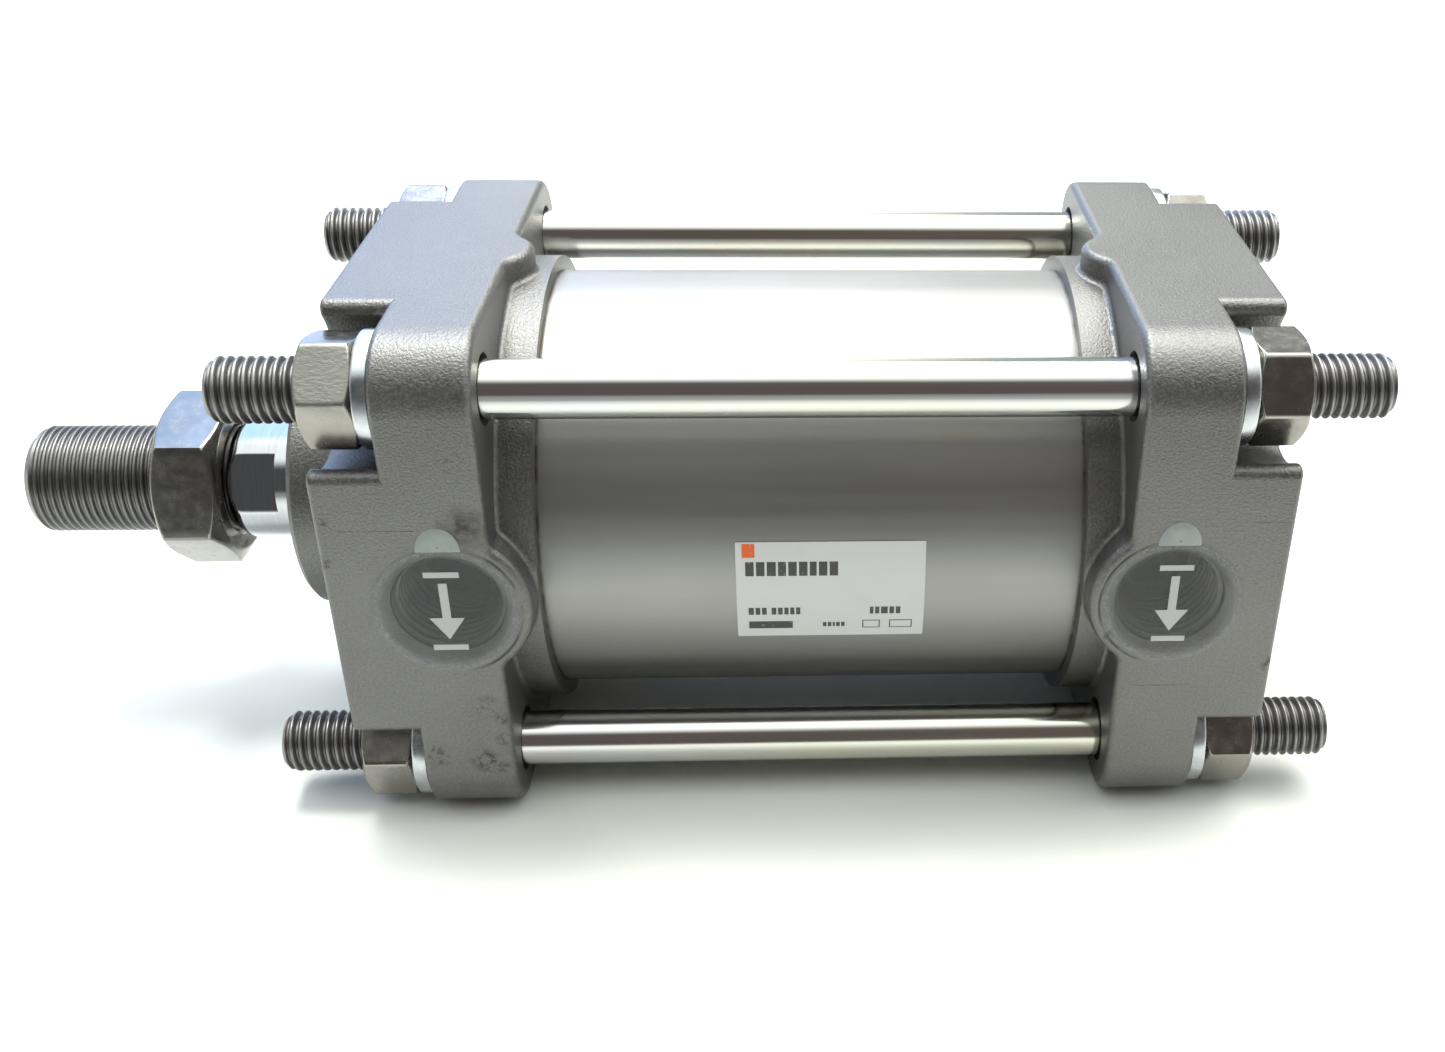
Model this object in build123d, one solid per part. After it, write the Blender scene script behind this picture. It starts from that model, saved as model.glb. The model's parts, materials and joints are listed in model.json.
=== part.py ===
from build123d import *
import math
import os

# Pneumatic tie-rod cylinder, 80 mm bore and 60 mm stroke, cushioned at both ends.
# Millimetres, +Z up.  X is the cylinder axis, and the rod comes out towards -X.
# The origin is the centre of the rod cover's front mounting face.
# The ports and the label face -Y.  The cushion needles are on the underside.

# Covers
BODY_LENGTH = 176.0
COVER_WIDTH = 102.0
COVER_HALF = COVER_WIDTH / 2
COVER_LENGTH = 37.0
NUT_SEAT_DEPTH = 12.5
FLANGE_END = 30.0
COLLAR_RADIUS = 46.0
LOBE_HALF = 28.2
TIE_ROD_OFFSET = 39.0
TIE_ROD_HOLE_RADIUS = 6.5
CORNER_RADIUS = COVER_HALF - TIE_ROD_OFFSET
NUT_POCKET_RADIUS = 14.2
PILOT_RADIUS = 26.0
PILOT_LENGTH = 14.0
LIP_ROUND = 2.0
POCKET_ROUND = 1.5
INNER_ROUND = 1.5
OUTER_ROUND = 1.0
COLLAR_BLEND = 1.0

# Ports, G 1/2 class thread shown at its major diameter
PORT_X = 21.0
PORT_RADIUS = 10.48
PORT_DEPTH = 17.0
PORT_MOUTH_RADIUS = 12.5
PORT_DRILL_RADIUS = 7.0
PORT_BOSS_RADIUS = 15.7
PORT_BOSS_DEPTH = 14.0
PORT_BOSS_BLEND = 3.0
PORT_BOSS_BAND = 25.0

# Cushion valves
VALVE_X = 26.0
VALVE_BOSS_RADIUS = 8.0
VALVE_BOSS_DEPTH = 13.0
VALVE_BOSS_BLEND = 4.0
VALVE_BOSS_BAND = 20.0
VALVE_HOLE_RADIUS = 4.1
NEEDLE_RADIUS = 4.0
NEEDLE_HEAD_Z = -47.7
NEEDLE_TIP_Z = -27.4
NEEDLE_SEAT_Z = -28.2
VALVE_POCKET_Z = -34.0
VALVE_POCKET_RADIUS = 3.2
PASSAGE_RADIUS = 1.5
PASSAGE_Z = -31.0

# Tube and the covers' spigots
TUBE_OUTER_RADIUS = 43.0
BORE_RADIUS = 40.0
TUBE_SEAT = 33.0
SPIGOT_END = 40.0
SPIGOT_RADIUS = 39.9
GASKET_GROOVE = (35.4, 38.2)
GASKET_GROOVE_RADIUS = 37.6
GASKET_CENTRE_RADIUS = 38.74
GASKET_WIRE_RADIUS = 1.12

# Cushion chambers
CHAMBER_RADIUS = 19.0
CHAMBER_BOTTOM = 17.0
CUSHION_SEAL_GROOVE = (33.5, 38.0)
CUSHION_SEAL_GROOVE_RADIUS = 22.0
CHAMBER_LIP_RADIUS = 18.2

# Rod cover's nose
BUSH_RADIUS = 15.0
BUSH_START = -3.0
NOSE_BORE_RADIUS = 17.0
RETAINER_START = -10.6
SNAP_RING_GROOVE = (-12.0, -10.6)
SNAP_RING_GROOVE_RADIUS = 18.2

# Piston rod
ROD_RADIUS = 12.5
ROD_TIP = -71.0
ROD_THREAD_RADIUS = 11.0
ROD_THREAD_UNDER_NUT = 10.8
ROD_THREAD_END = -31.0
ROD_END_TAPER = 2.6
ROD_END_CUT = 1.9
FLAT_END = -20.5
FLAT_WIDTH = 22.0
FLAT_TILT = 22.0
ROD_SHOULDER = 80.3
ROD_SPIGOT_RADIUS = 10.0
ROD_END = 152.0

# Piston and cushion rings, with the rod fully in
PISTON_START = 100.3
PISTON_END = 135.7
PISTON_RADIUS = 39.6
CUSHION_RING_RADIUS = 17.5
CUSHION_RING_LENGTH = 20.0
WEAR_RING_GROOVE = (104.0, 112.0)
PISTON_SEAL_GROOVE = (115.0, 121.0)
MAGNET_GROOVE = (125.0, 131.0)
PISTON_GASKET_X = 118.0

# Tie rods, M12
THREAD_RADIUS = 6.0
THREAD_UNDER_NUT = 5.9
SHANK_RADIUS = 5.4
TIE_ROD_OVERHANG = 17.0
TIE_ROD_THREAD_END = 24.0
WASHER_THICKNESS = 3.0
WASHER_RADIUS = 10.75
WASHER_HOLE_RADIUS = 6.2
WASHER_SPLIT = 1.4
WASHER_SPLIT_TILT = 25.0
NUT_WIDTH = 19.0
NUT_HEIGHT = 10.0
NUT_HOLE_RADIUS = 6.05

# Rod-end nut, M22
ROD_NUT_WIDTH = 32.0
ROD_NUT_HEIGHT = 13.0
ROD_NUT_HOLE_RADIUS = 11.05
ROD_NUT_TURN = 13.0

# Label and port films
LABEL_START = 73.4
LABEL_END = 109.2
LABEL_LOW = -18.0
LABEL_HIGH = 11.6
LABEL_THICKNESS = 0.15
FILM_RADIUS = 13.5
FILM_TAB_RADIUS = 4.0
FILM_THICKNESS = 0.2

# Clearances: a piece held still in its seat, and a piece that moves
SEAT_GAP = 0.02
RUNNING_GAP = 0.05

# The tie rods' places, and how far each nut stopped turning when it was tightened
CORNERS = {
    "front_upper": (-TIE_ROD_OFFSET, TIE_ROD_OFFSET, 49.0, 4.0),
    "front_lower": (-TIE_ROD_OFFSET, -TIE_ROD_OFFSET, 49.0, 53.0),
    "back_upper": (TIE_ROD_OFFSET, TIE_ROD_OFFSET, 20.0, 38.0),
    "back_lower": (TIE_ROD_OFFSET, -TIE_ROD_OFFSET, 10.0, 27.0),
}

TO_MIN = (Align.CENTER, Align.CENTER, Align.MIN)
MIDDLE = Plane.YZ.offset(BODY_LENGTH / 2)


def turned(profile):
    """Solid of revolution about X from its (x, radius) outline."""
    return revolve(make_face(Polyline(*profile, close=True)), axis=Axis.X)


def ring(start, end, inner, outer):
    return turned([(start, inner), (end, inner), (end, outer), (start, outer)])


def chamfered_ring(start, end, inner, outer, cut):
    return turned([
        (start, inner + cut), (start + cut, inner), (end - cut, inner), (end, inner + cut),
        (end, outer - cut), (end - cut, outer), (start + cut, outer), (start, outer - cut),
    ])


def rod(start, end, radius):
    return Pos(start, 0, 0) * Rot(0, 90, 0) * Cylinder(radius, end - start, align=TO_MIN)


def o_ring(x, centre_radius, wire_radius):
    return Pos(x, 0, 0) * Rot(0, 90, 0) * Torus(centre_radius, wire_radius)


def at_head_end(shape):
    """The rod end's shape, mirrored to the head end."""
    return mirror(shape, about=MIDDLE)


def hexagon_nut(width, height, hole_radius, turn):
    """Double-chamfered nut from X = 0 to X = height."""
    corner = width / 2 / math.cos(math.pi / 6)
    face_radius = width / 2 * 0.96
    cut = (corner - face_radius) * math.tan(math.radians(30))
    prism = extrude(Plane.YZ * RegularPolygon(corner, 6, rotation=turn), amount=height)
    envelope = turned([
        (0, 0), (height, 0), (height, face_radius), (height - cut, corner),
        (cut, corner), (0, face_radius),
    ])
    mouth = 1.0
    bore = turned([
        (0, 0), (height, 0), (height, hole_radius + mouth), (height - mouth, hole_radius),
        (mouth, hole_radius), (0, hole_radius + mouth),
    ])
    return (prism & envelope) - bore


# Cover casting ------------------------------------------------------------------


def bulge_profile(centre, radius, blend, half_length):
    """Flange edge with a round boss standing out of it, blended at both sides."""
    middle = (NUT_SEAT_DEPTH + FLANGE_END) / 2
    band = Pos(middle, 0) * Rectangle(FLANGE_END - NUT_SEAT_DEPTH, 2 * half_length)
    profile = band + Pos(centre, 0) * Circle(radius)
    corners = [
        v for v in profile.vertices()
        if abs(v.X - FLANGE_END) < 0.01 and abs(v.Y) < half_length - 1
    ]
    return fillet(corners, blend)


def lobe_outline():
    """The cover's outer end: a square whose corners open into round pockets for the nuts."""
    wide = COVER_HALF - LOBE_HALF
    narrow = COVER_HALF - TIE_ROD_OFFSET
    outline = Rectangle(COVER_WIDTH, COVER_WIDTH)
    for side in (-1, 1):
        for level in (-1, 1):
            pocket = Pos(side * TIE_ROD_OFFSET, level * TIE_ROD_OFFSET) * Circle(NUT_POCKET_RADIUS)
            towards_top = Pos(side * (COVER_HALF - wide / 2), level * (COVER_HALF - narrow / 2))
            towards_side = Pos(side * (COVER_HALF - narrow / 2), level * (COVER_HALF - wide / 2))
            outline = outline - pocket
            outline = outline - towards_top * Rectangle(wide, narrow)
            outline = outline - towards_side * Rectangle(narrow, wide)
    pocket_mouths = [v for v in outline.vertices() if max(abs(v.X), abs(v.Y)) < COVER_HALF - 1]
    return fillet(pocket_mouths, POCKET_ROUND)


def raw_casting():
    lobes = extrude(Plane.YZ * lobe_outline(), amount=NUT_SEAT_DEPTH)
    flange = extrude(
        Plane.YZ.offset(NUT_SEAT_DEPTH)
        * RectangleRounded(COVER_WIDTH, COVER_WIDTH, CORNER_RADIUS),
        amount=FLANGE_END - NUT_SEAT_DEPTH,
    )
    collar = rod(FLANGE_END, COVER_LENGTH, COLLAR_RADIUS)
    port_boss = extrude(
        Plane.XZ.offset(COVER_HALF) * bulge_profile(PORT_X, PORT_BOSS_RADIUS, PORT_BOSS_BLEND, PORT_BOSS_BAND),
        amount=-PORT_BOSS_DEPTH,
    )
    valve_boss = extrude(
        Plane.XY.offset(COVER_HALF - VALVE_BOSS_DEPTH)
        * bulge_profile(VALVE_X, VALVE_BOSS_RADIUS, VALVE_BOSS_BLEND, VALVE_BOSS_BAND),
        amount=VALVE_BOSS_DEPTH,
    )
    return lobes + flange + collar + port_boss + valve_boss + mirror(valve_boss, about=Plane.XY)


def from_axis(edge):
    middle = edge @ 0.5
    return math.hypot(middle.Y, middle.Z)


def lies_at_x(edge, x):
    box = edge.bounding_box()
    return abs(box.min.X - x) < 0.001 and abs(box.max.X - x) < 0.001


def on_side_face(edge):
    """True where the whole edge lies in one of the cover's four side faces."""
    low = edge.bounding_box().min
    high = edge.bounding_box().max
    return any(
        abs(abs(a) - COVER_HALF) < 0.001 and abs(a - b) < 0.001
        for a, b in ((low.Y, high.Y), (low.Z, high.Z))
    )


def rounded_casting():
    """The casting with every edge rounded that the mould leaves round."""
    body = raw_casting()
    corner_distance = COVER_HALF + CORNER_RADIUS
    body = fillet(
        [
            e for e in body.edges()
            if e.bounding_box().min.X > FLANGE_END - 0.01
            and e.bounding_box().max.X < COVER_LENGTH - 0.05
            and abs(from_axis(e) - COLLAR_RADIUS) < 0.3
        ],
        COLLAR_BLEND,
    )
    body = fillet(
        [
            e for e in body.edges()
            if e.bounding_box().min.X > FLANGE_END - 0.01
            and (on_side_face(e) or (lies_at_x(e, FLANGE_END) and from_axis(e) > corner_distance))
        ],
        INNER_ROUND,
    )
    body = fillet(
        [
            e for e in body.edges()
            if e.bounding_box().max.X < NUT_SEAT_DEPTH + 0.01
            and e.bounding_box().size.X > NUT_SEAT_DEPTH - 0.5
            and on_side_face(e)
        ],
        LIP_ROUND,
    )
    body = fillet([e for e in body.edges() if lies_at_x(e, 0)], OUTER_ROUND)
    return fillet(
        [
            e for e in body.edges()
            if lies_at_x(e, NUT_SEAT_DEPTH)
            and (on_side_face(e) or from_axis(e) > corner_distance)
        ],
        OUTER_ROUND,
    )


def port_hole():
    """Threaded port with its countersunk mouth and the drilling to the chamber."""
    mouth_depth = PORT_MOUTH_RADIUS - PORT_RADIUS
    drill_bottom = COVER_HALF - CHAMBER_RADIUS + 0.6
    hole = turned([
        (0, 0), (0, PORT_MOUTH_RADIUS), (mouth_depth, PORT_RADIUS), (PORT_DEPTH, PORT_RADIUS),
        (PORT_DEPTH, PORT_DRILL_RADIUS), (drill_bottom, PORT_DRILL_RADIUS), (drill_bottom, 0),
    ])
    return Pos(PORT_X, -COVER_HALF, 0) * Rot(0, 0, 90) * hole


def upright(z, shape):
    """A shape turned about X, stood up on the valve's axis with X = 0 at height z."""
    return Pos(VALVE_X, 0, z) * Rot(0, -90, 0) * shape


def valve_hole():
    depth = VALVE_POCKET_Z + COVER_HALF
    seat = NEEDLE_SEAT_Z + COVER_HALF
    groove_start = 0.9
    groove_end = 1.8
    groove_radius = VALVE_HOLE_RADIUS + 0.5
    hole = turned([
        (0, 0), (0, VALVE_HOLE_RADIUS), (groove_start, VALVE_HOLE_RADIUS),
        (groove_start, groove_radius), (groove_end, groove_radius),
        (groove_end, VALVE_HOLE_RADIUS), (depth, VALVE_HOLE_RADIUS),
        (depth, VALVE_POCKET_RADIUS), (seat, VALVE_POCKET_RADIUS),
        (seat, PASSAGE_RADIUS), (COVER_HALF - CHAMBER_RADIUS + 0.5, PASSAGE_RADIUS),
        (COVER_HALF - CHAMBER_RADIUS + 0.5, 0),
    ])
    passage = Pos(0, 0, PASSAGE_Z) * rod(VALVE_X, SPIGOT_END + 1, PASSAGE_RADIUS)
    return upright(-COVER_HALF, hole) + passage


def machined_cover():
    """Either cover: the casting with its spigot, bores, port and valve hole."""
    spigot = rod(FLANGE_END, SPIGOT_END, SPIGOT_RADIUS)
    cover = rounded_casting() - ring(TUBE_SEAT, SPIGOT_END, SPIGOT_RADIUS, TUBE_OUTER_RADIUS + SEAT_GAP)
    cover = cover + spigot
    cover = cover - ring(*GASKET_GROOVE, GASKET_GROOVE_RADIUS, SPIGOT_RADIUS + 1)
    chamber = turned([
        (CHAMBER_BOTTOM, 0), (CHAMBER_BOTTOM, CHAMBER_RADIUS),
        (CUSHION_SEAL_GROOVE[0], CHAMBER_RADIUS),
        (CUSHION_SEAL_GROOVE[0], CUSHION_SEAL_GROOVE_RADIUS),
        (CUSHION_SEAL_GROOVE[1], CUSHION_SEAL_GROOVE_RADIUS),
        (CUSHION_SEAL_GROOVE[1], CHAMBER_LIP_RADIUS),
        (SPIGOT_END + 1, CHAMBER_LIP_RADIUS), (SPIGOT_END + 1, 0),
    ])
    cover = cover - chamber - port_hole() - valve_hole()
    for y, z, _, _ in CORNERS.values():
        cover = cover - Pos(0, y, z) * rod(NUT_SEAT_DEPTH - 1, FLANGE_END + 1, TIE_ROD_HOLE_RADIUS)
    return cover


def rod_cover():
    """The cover with the pilot nose that carries the bush, the rod seal and its retainer."""
    edge = 1.0
    nose = turned([
        (-PILOT_LENGTH, 0), (2, 0), (2, PILOT_RADIUS), (edge - PILOT_LENGTH, PILOT_RADIUS),
        (-PILOT_LENGTH, PILOT_RADIUS - edge),
    ])
    bore = turned([
        (-PILOT_LENGTH - 1, 0), (-PILOT_LENGTH - 1, NOSE_BORE_RADIUS),
        (SNAP_RING_GROOVE[0], NOSE_BORE_RADIUS), (SNAP_RING_GROOVE[0], SNAP_RING_GROOVE_RADIUS),
        (SNAP_RING_GROOVE[1], SNAP_RING_GROOVE_RADIUS), (SNAP_RING_GROOVE[1], NOSE_BORE_RADIUS),
        (BUSH_START, NOSE_BORE_RADIUS), (BUSH_START, BUSH_RADIUS + SEAT_GAP),
        (CHAMBER_BOTTOM + 1, BUSH_RADIUS + SEAT_GAP), (CHAMBER_BOTTOM + 1, 0),
    ])
    return machined_cover() + nose - bore


# Pieces inside the rod cover's nose ---------------------------------------------


def snap_ring(start, end, inner, outer, gap):
    """Spring ring with an open gap, so that it can be squeezed into its groove."""
    opening = Pos((start + end) / 2, 0, outer) * Box(2 * (end - start), gap, 2 * outer)
    return ring(start, end, inner, outer) - opening


def nose_pieces():
    lip = ROD_RADIUS + RUNNING_GAP
    seal_start = RETAINER_START + 2.0
    seal = turned([
        (seal_start, lip + 0.6), (seal_start + 1.0, lip), (seal_start + 1.8, lip + 1.0),
        (seal_start + 3.4, lip + 1.0), (seal_start + 4.4, lip), (BUSH_START, lip + 0.8),
        (BUSH_START, NOSE_BORE_RADIUS - SEAT_GAP), (seal_start, NOSE_BORE_RADIUS - SEAT_GAP),
    ])
    return {
        "rod_bush": chamfered_ring(BUSH_START, CHAMBER_BOTTOM, lip, BUSH_RADIUS, 0.5),
        "rod_seal": seal,
        "seal_retainer": ring(RETAINER_START, seal_start, ROD_RADIUS + 0.4, NOSE_BORE_RADIUS - SEAT_GAP),
        "retainer_snap_ring": snap_ring(
            SNAP_RING_GROOVE[0] + 0.1, SNAP_RING_GROOVE[1], ROD_RADIUS + 2.2,
            SNAP_RING_GROOVE_RADIUS - 0.1, 8.0,
        ),
    }


# Seals and valves that both covers hold -----------------------------------------


def needle():
    """Cushion needle: hexagon socket head, thread, seal groove, stem and tapered tip."""
    length = NEEDLE_TIP_Z - NEEDLE_HEAD_Z
    groove_start = 9.6
    groove_end = 11.2
    groove_radius = 2.9
    stem_start = 13.7
    stem_radius = 2.5
    taper_start = length - 3.0
    tip_radius = 0.8
    body = turned([
        (0, 0), (0, NEEDLE_RADIUS - 0.5), (0.5, NEEDLE_RADIUS), (groove_start, NEEDLE_RADIUS),
        (groove_start, groove_radius), (groove_end, groove_radius), (groove_end, NEEDLE_RADIUS),
        (stem_start - 1, NEEDLE_RADIUS), (stem_start, stem_radius), (taper_start, stem_radius),
        (length, tip_radius), (length, 0),
    ])
    socket = extrude(Plane.YZ * RegularPolygon(2.31, 6), amount=3.0)
    return upright(NEEDLE_HEAD_Z, body - socket)


def cover_pieces():
    """Gasket, cushion seal and cushion valve, as they sit in the rod cover."""
    seal_start, seal_end = CUSHION_SEAL_GROOVE
    lip = CUSHION_RING_RADIUS + RUNNING_GAP
    cushion_seal = turned([
        (seal_start + 0.1, CHAMBER_RADIUS + 0.3), (seal_start + 2.2, CHAMBER_RADIUS - 0.2),
        (seal_end - 0.8, lip), (seal_end - 0.1, lip + 0.3),
        (seal_end - 0.1, CUSHION_SEAL_GROOVE_RADIUS - SEAT_GAP),
        (seal_start + 0.1, CUSHION_SEAL_GROOVE_RADIUS - SEAT_GAP),
    ])
    ring_inner = 2.9
    ring_outer = VALVE_HOLE_RADIUS + 0.4
    return {
        "tube_gasket": o_ring(sum(GASKET_GROOVE) / 2, GASKET_CENTRE_RADIUS, GASKET_WIRE_RADIUS),
        "cushion_seal": cushion_seal,
        "cushion_needle": needle(),
        "needle_seal": upright(NEEDLE_HEAD_Z, o_ring(10.4, 3.48, 0.53)),
        "needle_snap_ring": upright(-COVER_HALF, snap_ring(1.0, 1.7, ring_inner, ring_outer, 2.4)),
    }


# Rod and piston -----------------------------------------------------------------


def piston_rod():
    """Rod with its end thread, wrench flats, ground shaft and the spigot for the piston."""
    tip_cut = 1.6
    nut_face = ROD_THREAD_END - ROD_NUT_HEIGHT
    blank = turned([
        (ROD_TIP, 0), (ROD_TIP, ROD_THREAD_RADIUS - tip_cut), (ROD_TIP + tip_cut, ROD_THREAD_RADIUS),
        (nut_face, ROD_THREAD_RADIUS), (nut_face + 0.2, ROD_THREAD_UNDER_NUT),
        (ROD_THREAD_END, ROD_THREAD_UNDER_NUT), (ROD_THREAD_END, ROD_RADIUS - ROD_END_CUT),
        (ROD_THREAD_END + ROD_END_TAPER, ROD_RADIUS), (ROD_SHOULDER, ROD_RADIUS),
        (ROD_SHOULDER, ROD_SPIGOT_RADIUS), (ROD_END - 1, ROD_SPIGOT_RADIUS),
        (ROD_END, ROD_SPIGOT_RADIUS - 1), (ROD_END, 0),
    ])
    length = FLAT_END - ROD_THREAD_END
    depth = ROD_RADIUS
    cheek = Pos(0, FLAT_WIDTH / 2 + depth / 2, 0) * Box(length, depth, 4 * ROD_RADIUS)
    both = cheek + mirror(cheek, about=Plane.XZ)
    return blank - Pos((ROD_THREAD_END + FLAT_END) / 2, 0, 0) * Rot(-FLAT_TILT, 0, 0) * both


def rod_pieces():
    on_rod = ROD_SPIGOT_RADIUS + SEAT_GAP
    gasket_wire = 1.1
    gasket_groove = ring(
        PISTON_GASKET_X - 1.3, PISTON_GASKET_X + 1.3, 0.5 * on_rod, on_rod + 2 * gasket_wire + 0.1
    )
    seal_floor = PISTON_RADIUS - 5.0
    wear_floor = PISTON_RADIUS - 2.5
    magnet_floor = PISTON_RADIUS - 4.0
    piston = chamfered_ring(PISTON_START, PISTON_END, on_rod, PISTON_RADIUS, 1.0) - gasket_groove
    for groove, floor in (
        (PISTON_SEAL_GROOVE, seal_floor),
        (WEAR_RING_GROOVE, wear_floor),
        (MAGNET_GROOVE, magnet_floor),
    ):
        piston = piston - ring(*groove, floor, PISTON_RADIUS + 1)
    running = BORE_RADIUS - 2 * RUNNING_GAP
    start, end = PISTON_SEAL_GROOVE
    middle = (start + end) / 2
    seal = turned([
        (start + 0.1, seal_floor + RUNNING_GAP), (end - 0.1, seal_floor + RUNNING_GAP),
        (end - 0.1, running - 0.5), (end - 0.9, running), (middle + 0.8, running - 1.2),
        (middle - 0.8, running - 1.2), (start + 0.9, running), (start + 0.1, running - 0.5),
    ])
    front_start = PISTON_START - CUSHION_RING_LENGTH
    taper = 3.0
    front = turned([
        (front_start, on_rod), (PISTON_START, on_rod), (PISTON_START, CUSHION_RING_RADIUS),
        (front_start + taper, CUSHION_RING_RADIUS), (front_start, CUSHION_RING_RADIUS - 1.0),
    ])
    rear = mirror(front, about=Plane.YZ.offset((PISTON_START + PISTON_END) / 2))
    return {
        "piston_rod": piston_rod(),
        "piston": piston,
        "piston_gasket": o_ring(PISTON_GASKET_X, on_rod + gasket_wire + 0.05, gasket_wire),
        "piston_seal": seal,
        "wear_ring": ring(
            WEAR_RING_GROOVE[0] + 0.1, WEAR_RING_GROOVE[1] - 0.1, wear_floor + RUNNING_GAP, running
        ),
        "piston_magnet": ring(
            MAGNET_GROOVE[0] + 0.1, MAGNET_GROOVE[1] - 0.1, magnet_floor + SEAT_GAP, PISTON_RADIUS - 0.4
        ),
        "cushion_ring_front": front,
        "cushion_ring_rear": rear,
    }


# Fasteners ----------------------------------------------------------------------


def tie_rod():
    tip_cut = 1.2
    tip = -TIE_ROD_OVERHANG
    nut_face = NUT_SEAT_DEPTH - WASHER_THICKNESS - NUT_HEIGHT
    half = [
        (tip, 0), (tip, THREAD_RADIUS - tip_cut), (tip + tip_cut, THREAD_RADIUS),
        (nut_face, THREAD_RADIUS), (nut_face + 0.1, THREAD_UNDER_NUT),
        (TIE_ROD_THREAD_END, THREAD_UNDER_NUT), (TIE_ROD_THREAD_END + 0.5, SHANK_RADIUS),
    ]
    other_half = [(BODY_LENGTH - x, radius) for x, radius in reversed(half)]
    return turned(half + other_half)


def spring_washer():
    """Split washer under a rod-end nut; the split leans as on a coiled ring."""
    start = NUT_SEAT_DEPTH - WASHER_THICKNESS
    washer = chamfered_ring(start, NUT_SEAT_DEPTH, WASHER_HOLE_RADIUS, WASHER_RADIUS, 0.35)
    split = Pos(NUT_SEAT_DEPTH - WASHER_THICKNESS / 2, 0, 0) * Rot(0, 0, WASHER_SPLIT_TILT) * Box(
        4 * WASHER_THICKNESS, WASHER_SPLIT, 2 * WASHER_RADIUS, align=TO_MIN
    )
    return washer - split


def fasteners():
    pieces = {}
    nut_start = NUT_SEAT_DEPTH - WASHER_THICKNESS - NUT_HEIGHT
    for corner, (y, z, rod_end_turn, head_end_turn) in CORNERS.items():
        place = Pos(0, y, z)
        washer = place * Rot(-100 if y < 0 else 100, 0, 0) * spring_washer()
        pieces["tie_rod_" + corner] = place * tie_rod()
        pieces["spring_washer_rod_end_" + corner] = washer
        pieces["spring_washer_head_end_" + corner] = at_head_end(washer)
        for end, turn in (("rod_end", rod_end_turn), ("head_end", head_end_turn)):
            nut = Pos(nut_start, y, z) * hexagon_nut(NUT_WIDTH, NUT_HEIGHT, NUT_HOLE_RADIUS, turn)
            pieces["tie_rod_nut_" + end + "_" + corner] = at_head_end(nut) if end == "head_end" else nut
    return pieces


# Label and port films -----------------------------------------------------------


def label():
    inner = TUBE_OUTER_RADIUS + SEAT_GAP
    sleeve = ring(LABEL_START, LABEL_END, inner, inner + LABEL_THICKNESS)
    reach = 2 * TUBE_OUTER_RADIUS
    low = math.radians(LABEL_LOW)
    high = math.radians(LABEL_HIGH)
    wedge = make_face(Polyline(
        (0, 0),
        (-reach * math.cos(low), reach * math.sin(low)),
        (-reach * math.cos(high), reach * math.sin(high)),
        close=True,
    ))
    return sleeve & extrude(Plane.YZ.offset(LABEL_START) * wedge, amount=LABEL_END - LABEL_START)


def port_film():
    tab = Pos(0, FILM_RADIUS) * Circle(FILM_TAB_RADIUS)
    outline = Pos(PORT_X, 0) * (Circle(FILM_RADIUS) + tab)
    return extrude(Plane.XZ.offset(COVER_HALF) * outline, amount=FILM_THICKNESS)


# Assembly -----------------------------------------------------------------------

nodes = {
    "rod_cover": rod_cover(),
    "head_cover": at_head_end(machined_cover()),
    "cylinder_tube": chamfered_ring(
        TUBE_SEAT, BODY_LENGTH - TUBE_SEAT, BORE_RADIUS, TUBE_OUTER_RADIUS, 0.5
    ),
    "rod_end_nut": Pos(ROD_THREAD_END - ROD_NUT_HEIGHT, 0, 0)
    * hexagon_nut(ROD_NUT_WIDTH, ROD_NUT_HEIGHT, ROD_NUT_HOLE_RADIUS, ROD_NUT_TURN),
    "label": label(),
    "port_film_rod_end": port_film(),
    "port_film_head_end": at_head_end(port_film()),
}
nodes.update(nose_pieces())
nodes.update(rod_pieces())
nodes.update(fasteners())
for name, piece in cover_pieces().items():
    nodes[name + "_rod_end"] = piece
    nodes[name + "_head_end"] = at_head_end(piece)

os.makedirs("parts", exist_ok=True)
for name, piece in nodes.items():
    export_step(piece, "parts/" + name + ".step")
print(len(nodes), "nodes")
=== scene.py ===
import json
import math

import bpy
from mathutils import Matrix, Vector


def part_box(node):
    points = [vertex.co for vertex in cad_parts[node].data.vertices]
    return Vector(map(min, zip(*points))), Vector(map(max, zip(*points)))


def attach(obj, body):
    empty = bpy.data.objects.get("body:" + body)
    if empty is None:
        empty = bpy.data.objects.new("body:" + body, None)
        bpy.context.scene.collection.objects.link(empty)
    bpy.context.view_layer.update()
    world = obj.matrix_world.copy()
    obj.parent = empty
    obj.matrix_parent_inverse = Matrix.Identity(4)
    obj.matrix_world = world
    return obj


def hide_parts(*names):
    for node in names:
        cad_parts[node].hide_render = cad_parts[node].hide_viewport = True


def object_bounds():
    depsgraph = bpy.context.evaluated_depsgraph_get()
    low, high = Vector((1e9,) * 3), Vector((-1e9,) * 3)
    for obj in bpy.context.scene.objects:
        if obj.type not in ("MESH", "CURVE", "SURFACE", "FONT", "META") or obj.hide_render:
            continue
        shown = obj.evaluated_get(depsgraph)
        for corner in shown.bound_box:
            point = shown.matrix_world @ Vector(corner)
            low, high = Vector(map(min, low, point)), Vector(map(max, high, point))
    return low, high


# Looks for the tie-rod air cylinder.  Metres, the frame's own axes: X along the
# cylinder with the rod towards -X, ports and label facing -Y, +Z up.

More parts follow.
